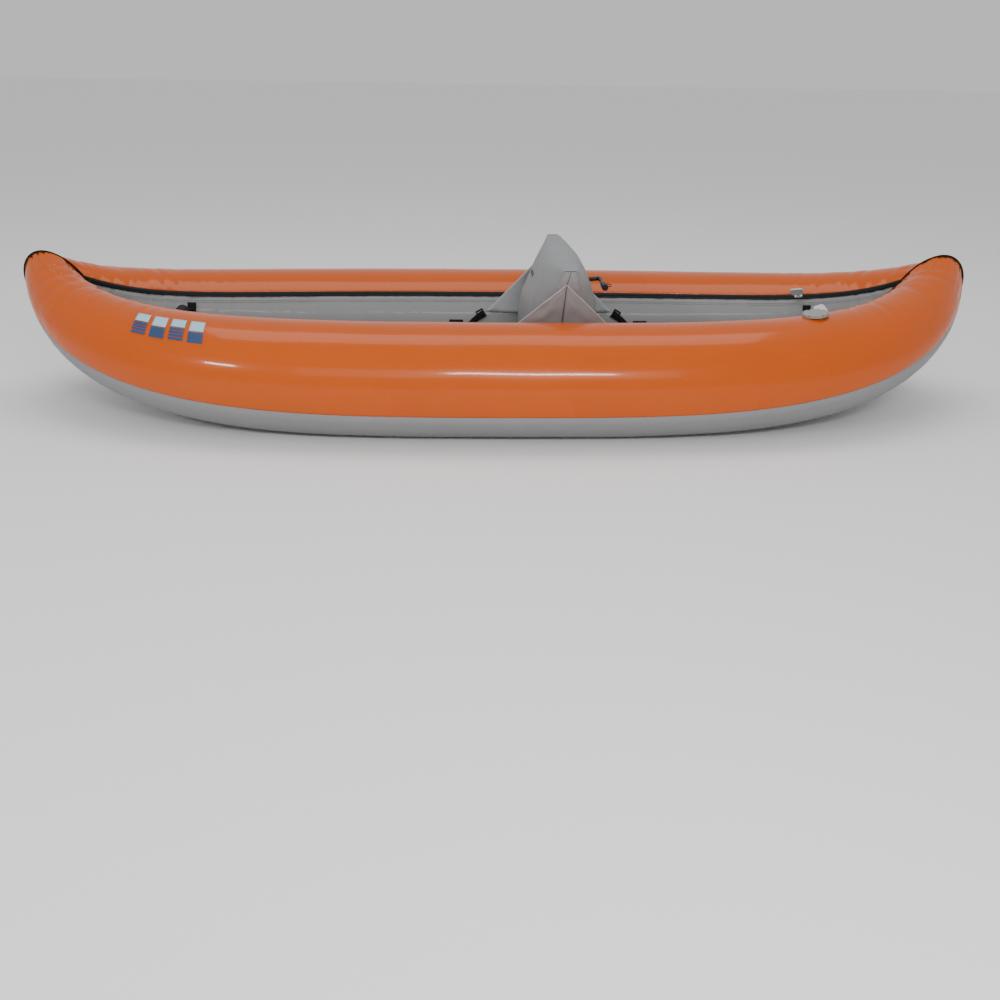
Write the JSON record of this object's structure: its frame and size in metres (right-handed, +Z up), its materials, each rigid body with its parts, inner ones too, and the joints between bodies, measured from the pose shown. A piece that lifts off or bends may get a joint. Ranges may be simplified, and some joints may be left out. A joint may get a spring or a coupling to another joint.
{
  "type": "inflatable kayak",
  "caption": "Inflatable open kayak: two air tubes in zipped covers, inflatable floor, padded backrest on straps and carry handles.",
  "frame": {"origin": "ground level under the middle of the boat, on the centre plane", "axes": "+X to the stern, +Y to starboard, +Z up"},
  "size_m": [2.8036, 1.06, 0.446],
  "materials": {
    "orange_pvc": "glossy coated fabric, fine puckers at the seams",
    "grey_pvc": "satin coated fabric",
    "floor_fabric": "matt coated fabric",
    "seat_fabric": "satin coated fabric with sewn seams",
    "bladder_film": "clear soft film",
    "black_welt": "taped seam",
    "zipper_tape": "coated zipper, fine teeth",
    "slider_metal": "cast and plated",
    "pull_plastic": "moulded",
    "valve_plastic": "moulded",
    "black_webbing": "woven webbing",
    "grip_rubber": "ribbed",
    "buckle_plastic": "moulded"
  },
  "bodies": {
    "hull": {"air_cell_port": "bladder_film", "air_cell_starboard": "bladder_film", "bow_seam_panel": "black_welt", "floor_air_cell": "bladder_film", "floor_cover": "floor_fabric", "floor_valve_body": "valve_plastic", "hull_bottom": "grey_pvc", "seat_strap_port_bow": "black_webbing", "seat_strap_port_stern": "black_webbing", "seat_strap_starboard_bow": "black_webbing", "seat_strap_starboard_stern": "black_webbing", "stern_seam_panel": "black_welt", "tie_down_tabs_port": "black_webbing", "tie_down_tabs_starboard": "black_webbing", "tube_base_port_bow": "grey_pvc", "tube_base_port_middle": "grey_pvc", "tube_base_port_stern": "grey_pvc", "tube_base_starboard_bow": "grey_pvc", "tube_base_starboard_middle": "grey_pvc", "tube_base_starboard_stern": "grey_pvc", "tube_cover_port_bow": "orange_pvc", "tube_cover_port_middle": "orange_pvc", "tube_cover_port_stern": "orange_pvc", "tube_cover_starboard_bow": "orange_pvc", "tube_cover_starboard_middle": "orange_pvc", "tube_cover_starboard_stern": "orange_pvc", "tube_valve_body_port": "valve_plastic", "tube_valve_body_starboard": "valve_plastic", "zipper_port": "zipper_tape", "zipper_starboard": "zipper_tape"},
    "bow_handle": {"bow_handle_strap": "black_webbing", "bow_handle_grip": "grip_rubber"},
    "stern_handle": {"stern_handle_strap": "black_webbing", "stern_handle_grip": "grip_rubber"},
    "slider_port": {"zipper_slider_port": "slider_metal"},
    "pull_port": {"zipper_pull_port": "pull_plastic"},
    "valve_cap_port": {"tube_valve_cap_port": "valve_plastic"},
    "valve_stem_port": {"tube_valve_stem_port": "valve_plastic"},
    "slider_starboard": {"zipper_slider_starboard": "slider_metal"},
    "pull_starboard": {"zipper_pull_starboard": "pull_plastic"},
    "valve_cap_starboard": {"tube_valve_cap_starboard": "valve_plastic"},
    "valve_stem_starboard": {"tube_valve_stem_starboard": "valve_plastic"},
    "floor_cap": {"floor_valve_cap": "valve_plastic"},
    "floor_stem": {"floor_valve_stem": "valve_plastic"},
    "backrest": {"seat_air_cell": "bladder_film", "seat_buckle_port_bow": "buckle_plastic", "seat_buckle_port_stern": "buckle_plastic", "seat_buckle_starboard_bow": "buckle_plastic", "seat_buckle_starboard_stern": "buckle_plastic", "seat_cover": "seat_fabric", "seat_inflation_tube": "buckle_plastic", "seat_valve_body": "buckle_plastic", "seat_wing_port_bow": "seat_fabric", "seat_wing_port_stern": "seat_fabric", "seat_wing_starboard_bow": "seat_fabric", "seat_wing_starboard_stern": "seat_fabric"},
    "seat_knob": {"seat_valve_knob": "buckle_plastic"}
  },
  "joints": [
    {"name": "bow_handle_swing", "type": "hinge", "parent": "hull", "child": "bow_handle", "pos_m": [-0.95521, 0, 0.23105], "axis": [0, 1, 0], "range_deg": [-70, 70]},
    {"name": "stern_handle_swing", "type": "hinge", "parent": "hull", "child": "stern_handle", "pos_m": [0.97431, 0, 0.23867], "axis": [0, 1, 0], "range_deg": [-70, 70]},
    {"name": "zip_port", "type": "hinge", "parent": "hull", "child": "slider_port", "pos_m": [0.48752, 1.02144, 0.78786], "axis": [0.0395, -0.3833, 0.9228], "range_deg": [-10, 0]},
    {"name": "pull_port_swing", "type": "hinge", "parent": "slider_port", "child": "pull_port", "pos_m": [0.9454, -0.14531, 0.28625], "axis": [0.8991, 0.4012, 0.1751], "range_deg": [-60, 60]},
    {"name": "zip_starboard", "type": "hinge", "parent": "hull", "child": "slider_starboard", "pos_m": [0.48752, -1.02144, 0.78786], "axis": [-0.0395, -0.3833, -0.9228], "range_deg": [-10, 0]},
    {"name": "pull_starboard_swing", "type": "hinge", "parent": "slider_starboard", "child": "pull_starboard", "pos_m": [0.9454, 0.14531, 0.28625], "axis": [0.8991, -0.4012, 0.1751], "range_deg": [-60, 60]},
    {"name": "port_cap_turn", "type": "hinge", "parent": "hull", "child": "valve_cap_port", "pos_m": [0.86547, -0.29848, 0.32698], "axis": [-0.1021, -0.0306, 0.9943], "range_deg": [0, 90]},
    {"name": "port_stem_press", "type": "slide", "parent": "hull", "child": "valve_stem_port", "axis": [0.1021, 0.0306, -0.9943], "range_m": [0, 0.005], "stiffness_N_per_m": 600},
    {"name": "starboard_cap_turn", "type": "hinge", "parent": "hull", "child": "valve_cap_starboard", "pos_m": [0.92373, 0.43605, 0.17409], "axis": [0.2899, 0.9564, -0.0347], "range_deg": [0, 90]},
    {"name": "starboard_stem_press", "type": "slide", "parent": "hull", "child": "valve_stem_starboard", "axis": [-0.2899, -0.9564, 0.0347], "range_m": [0, 0.005], "stiffness_N_per_m": 600},
    {"name": "floor_cap_turn", "type": "hinge", "parent": "hull", "child": "floor_cap", "pos_m": [0.918, -0.072, 0.13404], "axis": [-0.1921, 0, 0.9814], "range_deg": [0, 90]},
    {"name": "floor_stem_press", "type": "slide", "parent": "hull", "child": "floor_stem", "axis": [0.1921, 0, -0.9814], "range_m": [0, 0.005], "stiffness_N_per_m": 600},
    {"name": "backrest_tilt", "type": "hinge", "parent": "hull", "child": "backrest", "pos_m": [0.162, 0, 0.108], "axis": [0, 1, 0], "range_deg": [-6, 4], "deforming": ["seat_strap_port_bow", "seat_strap_port_stern", "seat_strap_starboard_bow", "seat_strap_starboard_stern"]},
    {"name": "seat_valve_twist", "type": "hinge", "parent": "backrest", "child": "seat_knob", "pos_m": [0.295, -0.1155, 0.364], "axis": [0, -1, 0], "range_deg": [0, 180]}
  ]
}
